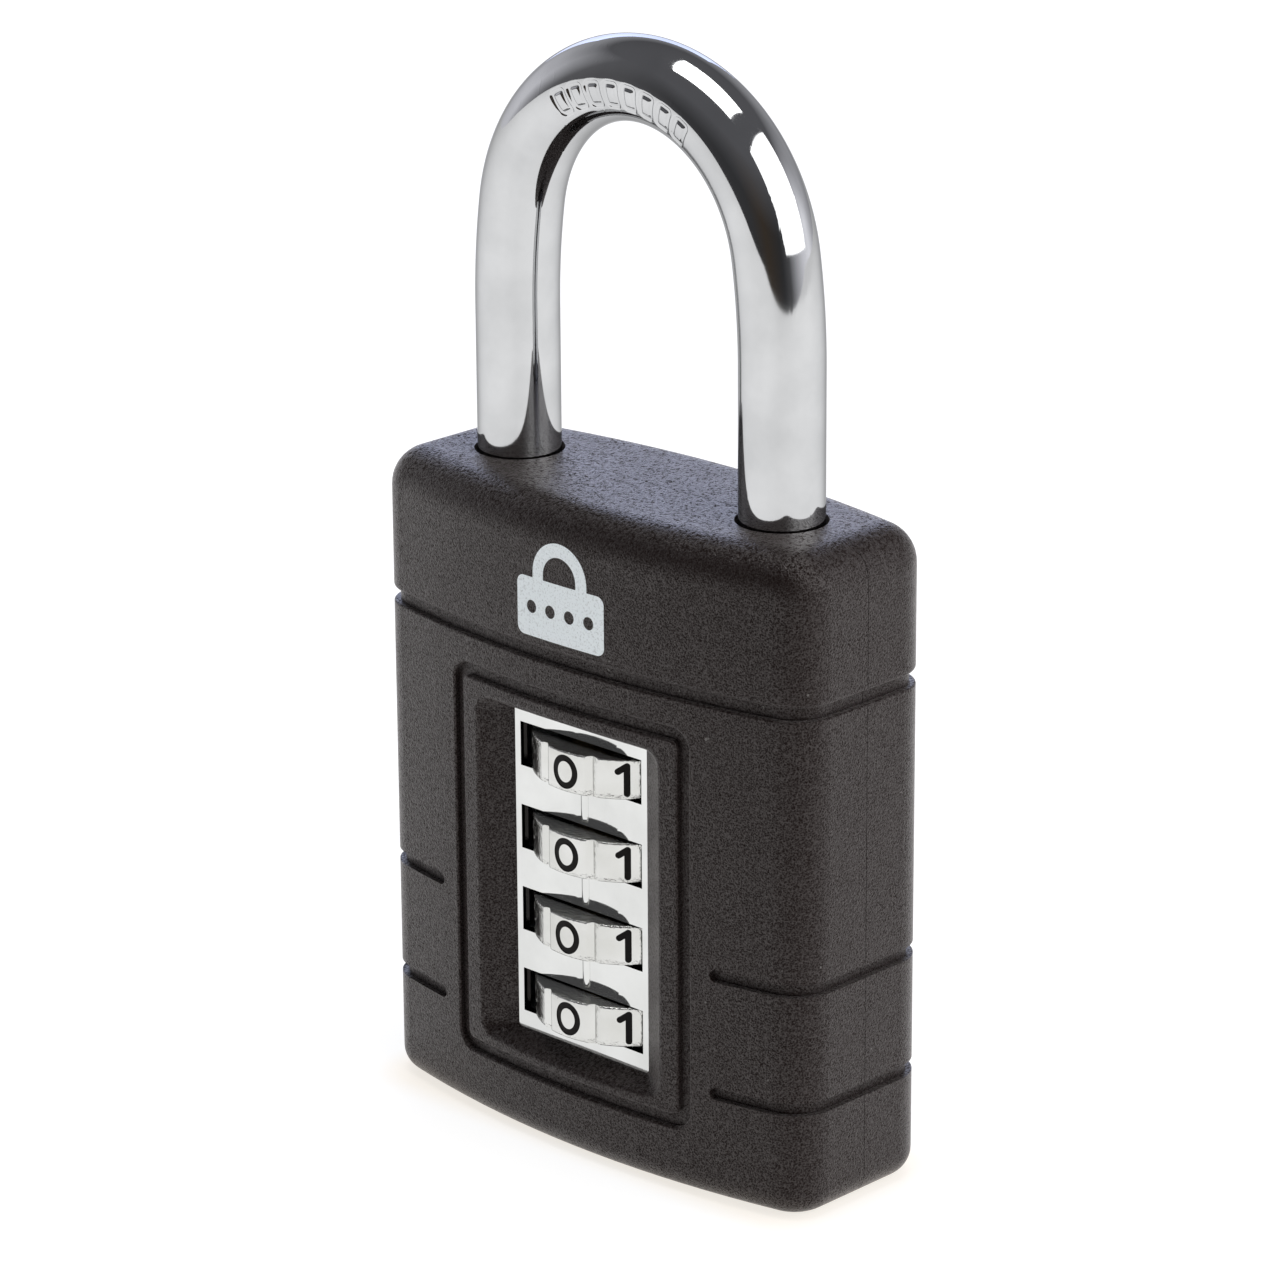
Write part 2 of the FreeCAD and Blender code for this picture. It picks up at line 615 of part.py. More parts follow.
def numeral_ring():
    """All ten numerals wrapped round one dial, 0 at the index and 1 to its right."""
    placed = []
    for digit in range(10):
        glyph = numeral(digit)
        glyph.translate(Vector(0, DIAL_AXIS_Y - DIAL_RADIUS + 2, 0))
        placed.append(turned(glyph, INDEX_TURN + digit * DIGIT_STEP))
    return placed


def dial_and_inlay():
    """One dial with its numerals cut in, and the black filling of the cuts."""
    low = -DIAL_HEIGHT / 2 - 1
    centre = (0, DIAL_AXIS_Y, low)
    floor_ring = tube(DIAL_RADIUS + 1, DIAL_RADIUS - DIGIT_DEPTH, DIAL_HEIGHT + 2, centre)
    inlay_ring = tube(DIAL_RADIUS - INLAY_SINK, DIAL_RADIUS - DIGIT_DEPTH, DIAL_HEIGHT + 2, centre)
    glyphs = numeral_ring()
    dial = dial_blank().cut([glyph.common(floor_ring) for glyph in glyphs])
    inlay = []
    for glyph in glyphs:
        inlay += glyph.common(inlay_ring).removeSplitter().Solids
    return one_solid(dial), Part.makeCompound(inlay)


def code_sleeve():
    """Inner sleeve: clutch teeth outside, a web with one gate inside, centred on 0."""
    half = SLEEVE_HEIGHT / 2
    sleeve = rod(SLEEVE_RADIUS, SLEEVE_HEIGHT, (0, DIAL_AXIS_Y, -half))
    sleeve = sleeve.fuse([tooth for tooth in clutch_teeth(0, 2.4).Solids])
    sleeve = sleeve.cut(rod(SLEEVE_UNDERCUT_RADIUS, SLEEVE_HEIGHT - WEB_THICKNESS,
                            (0, DIAL_AXIS_Y, -half)))
    bore = SPINDLE_RADIUS + SPINDLE_RUNNING_GAP
    sleeve = sleeve.cut(rod(bore, SLEEVE_HEIGHT + 2, (0, DIAL_AXIS_Y, -half - 1)))
    gate = box((-GATE_WIDTH / 2, DIAL_AXIS_Y, -half), (GATE_WIDTH / 2, DIAL_AXIS_Y + GATE_REACH, half))
    return one_solid(sleeve.cut(gate))


# ---------------------------------------------------------------- spindle and link
def spindle():
    """Rod with one fin for each dial; a fin passes a web only where its gate lines up."""
    foot = 8.5
    shape = rod(SPINDLE_RADIUS, LINK_Z - foot, (0, DIAL_AXIS_Y, foot))
    neck_top = LINK_Z + LINK_THICKNESS + 2.4
    shape = shape.fuse(rod(2.0, neck_top - LINK_Z + 1, (0, DIAL_AXIS_Y, LINK_Z - 1)))
    for index in range(1, DIAL_COUNT + 1):
        web = dial_z(index) + SLEEVE_HEIGHT / 2 - WEB_THICKNESS
        high = web - FIN_TOP_GAP
        fin = box((-FIN_WIDTH / 2, DIAL_AXIS_Y, high - FIN_HEIGHT),
                  (FIN_WIDTH / 2, DIAL_AXIS_Y + FIN_REACH, high))
        shape = shape.fuse(fin)
    groove_low = LINK_Z + LINK_THICKNESS
    shape = shape.cut(tube(3, 1.5, 0.9, (0, DIAL_AXIS_Y, groove_low)))
    return one_solid(shape)


def spindle_clip():
    """Open retaining ring that keeps the link plate on the spindle's neck."""
    low = LINK_Z + LINK_THICKNESS + 0.05
    ring = tube(3.7, 1.5, 0.8, (0, DIAL_AXIS_Y, low))
    mouth = box((-1.1, DIAL_AXIS_Y - 5, low - 1), (1.1, DIAL_AXIS_Y, low + 2))
    return one_solid(ring.cut(mouth))


def link_plate():
    """Flat lever: forked round the heel groove at one end, on the spindle at the other."""
    reach = 4.6
    z = LINK_Z
    near = (0, DIAL_AXIS_Y - reach, z)
    far = (0, DIAL_AXIS_Y + reach, z)
    left = -LEG_X - 4.0
    plate = prism([line((left, -5.3, z), near),
                   arc(near, (reach, DIAL_AXIS_Y, z), far),
                   line(far, (left, 5.3, z)),
                   line((left, 5.3, z), (left, -5.3, z))], (0, 0, LINK_THICKNESS))
    fork = HEEL_GROOVE_RADIUS + 0.1
    plate = plate.cut(rod(fork, 5, (-LEG_X, 0, z - 1)))
    plate = plate.cut(box((left - 1, -fork, z - 1), (-LEG_X, fork, z + 4)))
    plate = plate.cut(rod(2.05, 5, (0, DIAL_AXIS_Y, z - 1)))
    return one_solid(plate)


# ---------------------------------------------------------------- shackle
def shackle_path():
    """Centre line: long leg, two leaning shoulders and a round crown, short leg."""
    rise = SHOULDER_RADIUS - CROWN_RADIUS
    lean = math.degrees(math.acos((SHOULDER_RADIUS - LEG_X) / rise))
    crown_z = SHACKLE_TOP - LEG_RADIUS - CROWN_RADIUS
    shoulder_z = crown_z - rise * math.sin(math.radians(lean))

    def shoulder(side, degrees):
        x, z = polar((LEG_X - SHOULDER_RADIUS, shoulder_z), SHOULDER_RADIUS, degrees)
        return (side * x, 0, z)

    toe_end = BODY_HEIGHT - TOE_DEPTH
    return [line((-LEG_X, 0, HEEL_END), (-LEG_X, 0, shoulder_z)),
            arc(shoulder(-1, 0), shoulder(-1, lean / 2), shoulder(-1, lean)),
            arc(shoulder(-1, lean), (0, 0, crown_z + CROWN_RADIUS), shoulder(1, lean)),
            arc(shoulder(1, lean), shoulder(1, lean / 2), shoulder(1, 0)),
            line((LEG_X, 0, shoulder_z), (LEG_X, 0, toe_end))]


def shackle():
    circle = Part.Circle(Vector(-LEG_X, 0, HEEL_END), Z_AXIS, LEG_RADIUS).toShape()
    sweep = Part.Wire(shackle_path()).makePipeShell([Part.Wire([circle])], True, False)
    bar = Part.Solid(sweep) if sweep.ShapeType == "Shell" else sweep.Solids[0]
    toe_end = BODY_HEIGHT - TOE_DEPTH
    bar = bar.makeChamfer(0.9, [e for e in bar.Edges
                                if e.BoundBox.ZLength < 0.01
                                and (abs(e.BoundBox.ZMin - HEEL_END) < 0.01
                                     or abs(e.BoundBox.ZMin - toe_end) < 0.01)])
    groove = tube(LEG_RADIUS + 1, HEEL_GROOVE_RADIUS, LINK_THICKNESS + 0.2, (-LEG_X, 0, LINK_Z - 0.1))
    return one_solid(bar.cut(groove))


# ---------------------------------------------------------------- springs
def coil(centre, mean_radius, wire_radius, low, high, turns, square=False):
    """Compression spring of round or square wire between two heights, ends inside the span."""
    rise = high - low - 2 * wire_radius
    helix = Part.makeHelix(rise / turns, rise, mean_radius)
    if square:
        corners = [(mean_radius + x * wire_radius, 0, z * wire_radius)
                   for x, z in ((-1, -1), (1, -1), (1, 1), (-1, 1))]
        section = Part.Wire([line(p, q) for p, q in zip(corners, corners[1:] + corners[:1])])
    else:
        start = Vector(mean_radius, 0, 0)
        section = Part.Wire([Part.Circle(start, Y_AXIS, wire_radius).toShape()])
    spring = Part.Wire(helix.Edges).makePipeShell([section], True, True)
    spring.translate(Vector(centre[0], centre[1], low + wire_radius))
    return spring.Solids[0] if spring.Solids else Part.Solid(spring)


def shackle_spring():
    return coil((-LEG_X, 0), 3.7, 0.5, CORE_LOW, HEEL_END - 0.1, 7)


def reset_spring():
    return coil((0, DIAL_AXIS_Y), 6.2, 0.45, CORE_LOW, 10.5, 3, square=True)


def thrust_washer():
    return tube(7.0, 5.3, 0.8, (0, DIAL_AXIS_Y, 10.65))


def detent_spring(index):
    """Leaf with a nose behind one dial, drawn just clear of the dial's lands."""
    thick = 0.3
    back = BACK_PLATE_Y - 0.05
    nose = DIAL_AXIS_Y + DIAL_RADIUS + 0.12
    low = dial_z(index) - DETENT_HEIGHT / 2
    end = DETENT_HALF_WIDTH
    points = [(-end, back), (-end, back - thick), (-1.6, back - thick), (0, nose),
              (1.6, back - thick), (end, back - thick), (end, back), (1.4, back),
              (0, nose + thick + 0.1), (-1.4, back)]
    corners = [(x, y, low) for x, y in points]
    edges = [line(a, b) for a, b in zip(corners, corners[1:] + corners[:1])]
    return prism(edges, (0, 0, DETENT_HEIGHT))


# ---------------------------------------------------------------- printed emblem
def emblem():
    """Flat white print on the front: a plain closed padlock with four dots in it."""
    film = slab(-EMBLEM_FILM, 0, BODY_HEIGHT).cut(slab(0, -1, BODY_HEIGHT + 1))
    y = -HALF_DEPTH - 2
    reach = 6
    top = EMBLEM_LOW + EMBLEM_BLOCK_HEIGHT
    middle = EMBLEM_LOW + EMBLEM_BLOCK_HEIGHT / 2
    block = prism(rounded_rectangle(EMBLEM_HALF_WIDTH, EMBLEM_LOW, top, 1.0, y), (0, reach, 0))
    dots = [rod(0.75, reach, (2.9 * (k - 1.5), y, middle), Y_AXIS) for k in range(DIAL_COUNT)]
    bow = rod(4.1, reach, (0, y, top + 0.6), Y_AXIS).cut(rod(2.5, reach, (0, y, top + 0.6), Y_AXIS))
    bow = bow.common(box((-5, y, top + 0.6), (5, y + reach, top + 6)))
    legs = [box((x - 0.8, y, top - 0.1), (x + 0.8, y + reach, top + 0.6)) for x in (-3.3, 3.3)]
    sign = block.cut(dots).fuse([bow] + legs).removeSplitter()
    return one_solid(film.common(sign))


def main():
    os.makedirs("parts", exist_ok=True)
    front, rear = covers()
    export("front_cover", front)
    export("rear_cover", rear)
    export("cover_pins", cover_pins())
    export("core_block", core_block())
    export("base_plate", base_plate())
    export("base_rivets", base_rivets())
    export("core_back_plate", core_back_plate())
    export("back_plate_screws", back_plate_screws())
    export("dial_plate", dial_plate())
    export("emblem_print", emblem())

    dial, inlay = dial_and_inlay()
    sleeve = code_sleeve()
    for index in range(1, DIAL_COUNT + 1):
        z = dial_z(index)
        export(f"dial_{index}", lifted(dial, z))
        export(f"dial_{index}_numerals", lifted(inlay, z))
        export(f"code_sleeve_{index}", lifted(sleeve, z))
        export(f"detent_spring_{index}", detent_spring(index))

    export("spindle", spindle())
    export("spindle_clip", spindle_clip())
    export("link_plate", link_plate())
    export("shackle", shackle())
    export("shackle_spring", shackle_spring())
    export("reset_spring", reset_spring())
    export("thrust_washer", thrust_washer())


main()
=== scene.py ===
"""Looks of the four-dial combination padlock: materials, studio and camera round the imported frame."""

import json
import math

import bmesh
import bpy
from mathutils import Matrix, Vector


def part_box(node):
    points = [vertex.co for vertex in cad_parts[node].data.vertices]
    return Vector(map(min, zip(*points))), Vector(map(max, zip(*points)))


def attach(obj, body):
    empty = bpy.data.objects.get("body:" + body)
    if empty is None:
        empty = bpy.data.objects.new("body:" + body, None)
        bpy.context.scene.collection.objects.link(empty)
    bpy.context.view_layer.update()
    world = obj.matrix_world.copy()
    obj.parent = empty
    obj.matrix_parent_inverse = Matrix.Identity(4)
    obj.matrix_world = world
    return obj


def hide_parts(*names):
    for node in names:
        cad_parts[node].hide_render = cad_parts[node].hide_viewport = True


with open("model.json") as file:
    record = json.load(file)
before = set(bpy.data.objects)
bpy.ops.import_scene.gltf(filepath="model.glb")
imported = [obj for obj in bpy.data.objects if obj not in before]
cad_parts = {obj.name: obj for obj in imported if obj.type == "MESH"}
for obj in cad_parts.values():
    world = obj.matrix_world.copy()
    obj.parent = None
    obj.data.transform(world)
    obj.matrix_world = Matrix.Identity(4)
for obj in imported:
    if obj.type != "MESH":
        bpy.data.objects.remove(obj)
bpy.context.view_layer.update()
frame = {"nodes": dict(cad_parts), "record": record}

MM = 0.001
WHITE = (1.0, 1.0, 1.0, 1.0)

# ---------------------------------------------------------------- camera, in millimetres and degrees
CAMERA_AZIMUTH = 44.013
CAMERA_ELEVATION = 18.502
CAMERA_ROLL = -0.356
CAMERA_DISTANCE = 584.04
CAMERA_AIM_HEIGHT = 61.3
CAMERA_LENS = 148.14
CAMERA_SENSOR = 36.0
CAMERA_SHIFT = (-0.00678, -0.02443)
CAMERA_CLIP = (0.05, 20.0)  # metres

# ---------------------------------------------------------------- shackle, in millimetres
LEG_X = 20.0
BAR_RADIUS = 4.75
SHOULDER_RADIUS = 80.0      # the long bend between a leg and the crown
CROWN_RADIUS = 19.3
SHACKLE_TOP = 126.0
TOE_END = 67.5              # underside of the short leg
END_CHAMFER = 0.9
END_RIM = 0.1               # narrow row just inside an end's edge
GROOVE_RADIUS = 3.2         # the long leg's groove, where the link plate holds it
GROOVE_PLAY = 0.1

STAMP_COUNT = 8             # plain frames pressed into the front of the crown
STAMP_PITCH = 2.75
STAMP_SHIFT = -0.2          # in pitches
STAMP_RADIUS = 18.2
STAMP_HALF_WIDTH = 0.85
STAMP_HALF_HEIGHT = 1.25
STAMP_CORNER = 0.35
STAMP_STROKE = 0.40
STAMP_SLOPE = 0.6           # share of the stroke that slopes down to its full depth
STAMP_DEPTH = 0.20
STAMP_STEP = 0.1            # spacing of the mesh under the frames
STAMP_BAND = (80, 128)      # the frames' place round the bar, in degrees from the outside of the bend

LEG_STEP = 1.0              # spacing of the rows elsewhere: millimetres on the legs,
CROWN_STEP = 0.035          # radians on the bends
SHOULDER_STEP = 0.01
TURN_STEP = 4               # degrees round the bar
SHARP_EDGE = 60             # degrees

PLATE_FRONT = -11.0

# ---------------------------------------------------------------- studio
FLOOR_GLOW = 0.82
FLOOR_FRONT = 0.75          # metres from the lock to the floor's front edge
FLOOR_REACH = 3.0           # metres to its other edges
PAINTED_BOUNCE_CORE = (27.5, 8.0)     # half sizes of the block round which the floor gets painted warm bounce light and shade, in millimetres
PAINTED_BOUNCE_BAND = (4.0, 7.5)      # the painted warm light and shade end between these distances from it
PAINTED_LEFT_LIGHT_BAND = (-40, -220)     # painted light: the floor glows brighter to the left between these, in millimetres
WALL_TOP = (9, 40)          # elevations between which the wall gives way to the ceiling
LAMP_AIM = 0.06             # height that the lights face, in metres


# ================================================================ small helpers
class Nodes:
    """A node tree under construction, with a short call for each kind of node it needs."""

    def __init__(self, tree):
        self.tree = tree

    def add(self, kind, inputs=None, **settings):
        node = self.tree.nodes.new(kind)
        for key, value in settings.items():
            setattr(node, key, value)
        for key, value in (inputs or {}).items():
            if isinstance(value, bpy.types.NodeSocket):
                self.tree.links.new(value, node.inputs[key])
            else:
                node.inputs[key].default_value = value
        return node

    def math(self, operation, a, b=0.0):
        return self.add("ShaderNodeMath", {0: a, 1: b}, operation=operation).outputs[0]

    def place(self, scale=(1, 1, 1), source="Object"):
        coordinates = self.add("ShaderNodeTexCoord").outputs[source]
        return self.add("ShaderNodeMapping", {"Vector": coordinates, "Scale": scale}).outputs[0]

    def noise(self, where, scale, detail=2.0, roughness=0.5):
        inputs = {"Vector": where, "Scale": scale, "Detail": detail, "Roughness": roughness}
        return self.add("ShaderNodeTexNoise", inputs).outputs["Fac"]

    def cells(self, where, scale):
        return self.add("ShaderNodeTexVoronoi", {"Vector": where, "Scale": scale}).outputs["Distance"]

    def between(self, value, low, high, to_low=0.0, to_high=1.0):
        inputs = {"Value": value, "From Min": low, "From Max": high, "To Min": to_low, "To Max": to_high}
        return self.add("ShaderNodeMapRange", inputs).outputs[0]

    def blend(self, factor, a, b):
        return self.add("ShaderNodeMix", {0: factor, 6: a, 7: b}, data_type="RGBA").outputs[2]

    def axes(self, where):
        node = self.add("ShaderNodeSeparateXYZ", {0: where})
        return node.outputs[0], node.outputs[1], node.outputs[2]

    def ramp(self, value, stops):
        node = self.add("ShaderNodeValToRGB", {"Fac": value})
        points = node.color_ramp.elements
        while len(points) < len(stops):
            points.new(1.0)
        for point, (place, colour) in zip(points, stops):
            point.position = place
            point.color = colour
        return node.outputs[0]

    def bump(self, height, distance, strength=1.0, normal=None):
        inputs = {"Height": height, "Distance": distance, "Strength": strength}
        if normal is not None:
            inputs["Normal"] = normal
        return self.add("ShaderNodeBump", inputs).outputs[0]


def rgb(red, green, blue):
    return (red, green, blue, 1.0)


def new_material(name, **constants):
    """A material with one Principled shader; constants are set on its own sockets."""
    material = bpy.data.materials.new(name)
    material.use_nodes = True
    material.node_tree.nodes.clear()
    nodes = Nodes(material.node_tree)
    shader = nodes.add("ShaderNodeBsdfPrincipled")
    nodes.add("ShaderNodeOutputMaterial", {"Surface": shader.outputs[0]})
    for key, value in constants.items():
        shader.inputs[key.replace("_", " ")].default_value = value
    return material, nodes, shader.inputs


def feed(nodes, socket, value):
    nodes.tree.links.new(value, socket)


# ================================================================ materials
def cover_plastic():
    """Brown-black moulded plastic: spark grain, coarser on surfaces that face up, and a few dust specks."""
    material, nodes, shader = new_material("moulded_cover", IOR=1.38, Specular_Tint=rgb(1.0, 0.93, 0.91),
                                           Sheen_Weight=0.25, Sheen_Roughness=0.4,
                                           Sheen_Tint=rgb(1.0, 0.93, 0.90))
    where = nodes.place()
    pebbles = nodes.cells(where, 4200)
    fine = nodes.noise(where, 7000, detail=1.0, roughness=0.6)
    cloud = nodes.noise(where, 90, detail=3.0)
    upward = nodes.between(nodes.axes(nodes.place(source="Normal"))[2], 0.35, 0.85, 0.15, 1.5)
    uneven = nodes.math("SUBTRACT", nodes.noise(where, 2400, detail=1.0, roughness=0.7), 0.5)
    coarse = nodes.math("MULTIPLY", uneven, upward)
    grain = nodes.math("ADD", nodes.math("MULTIPLY", pebbles, 0.6), fine)
    grain = nodes.math("ADD", grain, coarse)
    swell = nodes.bump(nodes.noise(where, 45, detail=1.0), 0.04 * MM, 0.5)
    feed(nodes, shader["Normal"], nodes.bump(grain, 0.06 * MM, 1.0, swell))
    feed(nodes, shader["Specular IOR Level"], nodes.between(grain, 0.56, 1.04, 0.0, 0.95))
    tone = nodes.blend(cloud, rgb(0.0075, 0.0040, 0.0034), rgb(0.0110, 0.0066, 0.0058))
    speck = nodes.between(nodes.noise(where, 1500, detail=0.0), 0.885, 0.90)
    feed(nodes, shader["Base Color"], nodes.blend(speck, tone, rgb(0.10, 0.095, 0.09)))
    feed(nodes, shader["Roughness"], nodes.between(cloud, 0.3, 0.7, 0.29, 0.36))
    return material


def chrome(name, colour, dark, wave_scale, wave_depth, rough, scratch, edge=0.6):
    """Bright plating: long soft waves, hairline marks and a slightly uneven polish; depths in millimetres."""
    material, nodes, shader = new_material(name, Metallic=1.0, Specular_Tint=rgb(edge, edge, edge))
    where = nodes.place()
    wave = nodes.bump(nodes.noise(where, wave_scale), wave_depth * MM)
    hair = nodes.noise(nodes.place((900, 900, 40)), 1.0, detail=3.0)
    marks = nodes.between(hair, 0.62, 0.70)
    feed(nodes, shader["Normal"], nodes.bump(marks, scratch * MM, 1.0, wave))
    cloud = nodes.noise(where, 160, detail=4.0)
    feed(nodes, shader["Base Color"], nodes.blend(nodes.between(cloud, 0.35, 0.75), colour, dark))
    feed(nodes, shader["Roughness"], nodes.between(cloud, 0.3, 0.8, rough, rough * 2.2))
    return material, nodes, shader


def shackle_plating():
    """Plating of the bent bar, which shows a slight unevenness from the bar underneath."""
    return chrome("shackle_plating", rgb(0.59, 0.595, 0.60), rgb(0.51, 0.515, 0.52),
                  wave_scale=70, wave_depth=0.004, rough=0.035, scratch=0.003, edge=0.42)[0]


def dial_plating():
    """Plating over a rough die casting: pitted near the upper and lower edges of each dial."""
    material, nodes, shader = chrome("dial_plating", rgb(0.68, 0.68, 0.66), rgb(0.58, 0.58, 0.55),
                                     wave_scale=500, wave_depth=0.012, rough=0.08, scratch=0.003)
    height = nodes.axes(nodes.place(source="Generated"))[2]
    off_middle = nodes.math("ABSOLUTE", nodes.math("SUBTRACT", height, 0.5))
    edge = nodes.between(off_middle, 0.34, 0.47)
    pits = nodes.noise(nodes.place(), 2600, detail=3.0, roughness=0.6)
    before = shader["Normal"].links[0].from_socket
    rough = nodes.math("MULTIPLY", pits, nodes.math("ADD", nodes.math("MULTIPLY", edge, 1.1), 0.25))
    feed(nodes, shader["Normal"], nodes.bump(rough, 0.10 * MM, 1.0, before))
    return material


def plate_plating():
    """Mirror plating of the dial plate; the cut sides of its windows are painted near-black as painted shade.
    """
    material, nodes, shader = chrome("plate_plating", rgb(0.72, 0.725, 0.71), rgb(0.64, 0.645, 0.63),
                                     wave_scale=220, wave_depth=0.004, rough=0.04, scratch=0.0015)
    depth = nodes.axes(nodes.place())[1]
    # Painted shade: the windows' cut sides, behind the plate's front face, are painted near-black.
    painted_side_shade = nodes.between(depth, (PLATE_FRONT + 0.03) * MM, (PLATE_FRONT + 0.10) * MM)
    before = shader["Base Color"].links[0].from_socket
    feed(nodes, shader["Base Color"], nodes.blend(painted_side_shade, before, rgb(0.03, 0.028, 0.027)))
    return material


def numeral_paint():
    """Black filling with the uneven skin that thick paint gets."""
    material, nodes, shader = new_material("numeral_paint", IOR=1.2)
    where = nodes.place()
    tone = nodes.noise(where, 1400, detail=3.0)
    colour = nodes.blend(tone, rgb(0.004, 0.003, 0.003), rgb(0.010, 0.008, 0.007))
    feed(nodes, shader["Base Color"], colour)
    feed(nodes, shader["Roughness"], nodes.between(tone, 0.3, 0.7, 0.35, 0.55))
    feed(nodes, shader["Normal"], nodes.bump(nodes.noise(where, 1800), 0.06 * MM))
    return material


def print_ink():
    """White pad-printed ink that follows the grain and is a little thin in places."""
    material, nodes, shader = new_material("print_white", IOR=1.45)
    where = nodes.place()
    grain = nodes.noise(where, 4200, detail=3.0, roughness=0.6)
    thin = nodes.between(grain, 0.52, 0.70)
    feed(nodes, shader["Base Color"], nodes.blend(thin, rgb(0.90, 0.96, 0.98), rgb(0.62, 0.66, 0.67)))
    feed(nodes, shader["Roughness"], nodes.between(grain, 0.3, 0.7, 0.5, 0.62))
    feed(nodes, shader["Normal"], nodes.bump(grain, 0.03 * MM, 0.6))
    return material


def metal(name, colour, dark, rough, grain_scale, grain_depth, stretch=(1, 1, 1)):
    """Plain working metal: cast, turned or drawn, by the scale and stretch of its grain."""
    material, nodes, shader = new_material(name, Metallic=1.0)
    where = nodes.place(stretch)
    grain = nodes.noise(where, grain_scale, detail=4.0, roughness=0.6)
    feed(nodes, shader["Base Color"], nodes.blend(nodes.between(grain, 0.3, 0.75), colour, dark))
    feed(nodes, shader["Roughness"], nodes.between(grain, 0.3, 0.7, rough, rough + 0.14))
    feed(nodes, shader["Normal"], nodes.bump(grain, grain_depth * MM, 0.7))
    return material


def slot_materials():
    """One Blender material for each material slot of the record."""
    turned = (0.05, 0.05, 1)
    drawn = (1, 1, 0.1)
    return {
        "cover_abs": cover_plastic(),
        "shackle_chrome": shackle_plating(),
        "plate_chrome": plate_plating(),
        "dial_chrome": dial_plating(),
        "numeral_black": numeral_paint(),
        "print_white": print_ink(),
        "die_cast_zinc": metal("die_cast_zinc", rgb(0.34, 0.35, 0.36), rgb(0.20, 0.21, 0.22),
                               rough=0.45, grain_scale=900, grain_depth=0.06),
        "bright_steel": metal("bright_steel", rgb(0.52, 0.52, 0.53), rgb(0.40, 0.40, 0.42),
                              rough=0.28, grain_scale=700, grain_depth=0.01, stretch=drawn),
        "spindle_steel": metal("spindle_steel", rgb(0.42, 0.42, 0.44), rgb(0.30, 0.30, 0.32),
                               rough=0.30, grain_scale=1600, grain_depth=0.01, stretch=turned),
        "spring_steel": metal("spring_steel", rgb(0.32, 0.32, 0.35), rgb(0.22, 0.22, 0.25),
                              rough=0.33, grain_scale=2200, grain_depth=0.008),
        # Painted shade: the sleeve brass is painted much darker than brass, so the sleeves inside the dials
        # look shaded.
        "sleeve_brass": metal("sleeve_brass", rgb(0.20, 0.15, 0.08), rgb(0.12, 0.09, 0.05),
                              rough=0.35, grain_scale=1800, grain_depth=0.01, stretch=turned),
    }


# ================================================================ shackle
def spread(start, end, step):
    """Evenly spaced values from start up to, but not with, end."""
    count = math.ceil(abs(end - start) / step)
    return [start + (end - start) * k / count for k in range(count)]


def leg_rows(side, stops):
    """Centre, outward direction and radius up one straight leg, through the given heights and radii."""
    rows = []
    for (low, thin), (high, thick) in zip(stops, stops[1:]):
        for share in spread(0, 1, 1.0 / max(1, round(abs(high - low) / LEG_STEP))):
            z = low + (high - low) * share
            rows.append((Vector((side * LEG_X, 0, z)), Vector((side, 0, 0)), thin + (thick - thin) * share))
    return rows


def arc_rows(centre, reach, turns):
    """Centre, outward direction and radius along a bend, at the given turns about its centre."""
    rows = []
    for turn in turns:
        out = Vector((math.cos(turn), 0, math.sin(turn)))
        rows.append((centre + reach * out, out, BAR_RADIUS))
    return rows


def bar_rows():
    """Centre, outward direction and radius along the bar, from the long leg over the crown to the toe."""
    rise = SHOULDER_RADIUS - CROWN_RADIUS
    lean = math.acos((SHOULDER_RADIUS - LEG_X) / rise)
    crown = Vector((0, 0, SHACKLE_TOP - BAR_RADIUS - CROWN_RADIUS))
    shoulder_z = crown.z - rise * math.sin(lean)
    left = Vector((SHOULDER_RADIUS - LEG_X, 0, shoulder_z))
    right = Vector((LEG_X - SHOULDER_RADIUS, 0, shoulder_z))
    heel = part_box("shackle")[0].z / MM
    plate_low, plate_high = (corner.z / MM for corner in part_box("link_plate"))
    low, high = plate_low - GROOVE_PLAY, plate_high + GROOVE_PLAY
    end = BAR_RADIUS - END_CHAMFER
    long_leg = [(heel, end - END_RIM), (heel, end), (heel + END_CHAMFER, BAR_RADIUS),
                (low, BAR_RADIUS), (low, GROOVE_RADIUS), (high, GROOVE_RADIUS), (high, BAR_RADIUS),
                (shoulder_z, BAR_RADIUS)]
    short_leg = [(shoulder_z, BAR_RADIUS), (TOE_END + END_CHAMFER, BAR_RADIUS), (TOE_END, end),
                 (TOE_END, end - END_RIM), (TOE_END, end - 2 * END_RIM)]
    stamped = (STAMP_COUNT + 1) * STAMP_PITCH / 2 / CROWN_RADIUS
    middle = math.pi / 2
    crown_turns = (spread(math.pi - lean, middle + stamped, CROWN_STEP)
                   + spread(middle + stamped, middle - stamped, STAMP_STEP / CROWN_RADIUS)
                   + spread(middle - stamped, lean, CROWN_STEP))
    return (leg_rows(-1, long_leg)
            + arc_rows(left, SHOULDER_RADIUS, spread(math.pi, math.pi - lean, SHOULDER_STEP))
            + arc_rows(crown, CROWN_RADIUS, crown_turns)
            + arc_rows(right, SHOULDER_RADIUS, spread(lean, 0, SHOULDER_STEP))
            + leg_rows(1, short_leg))


def stamp(angle, reach):
    """How deep the row of plain frames is pressed into the front of the crown here, from 0 to 1."""
    place = angle * CROWN_RADIUS / STAMP_PITCH + STAMP_SHIFT
    if abs(place) > STAMP_COUNT / 2:
        return 0.0
    across = abs(place % 1 - 0.5) * STAMP_PITCH - STAMP_HALF_WIDTH + STAMP_CORNER
    along = abs(reach - STAMP_RADIUS) - STAMP_HALF_HEIGHT + STAMP_CORNER
    outside = math.hypot(max(across, 0), max(along, 0)) - STAMP_CORNER
    edge = abs(outside + min(max(across, along), 0))
    share = min(max((STAMP_STROKE - edge) / (STAMP_SLOPE * STAMP_STROKE), 0), 1)
    return share * share * (3 - 2 * share)


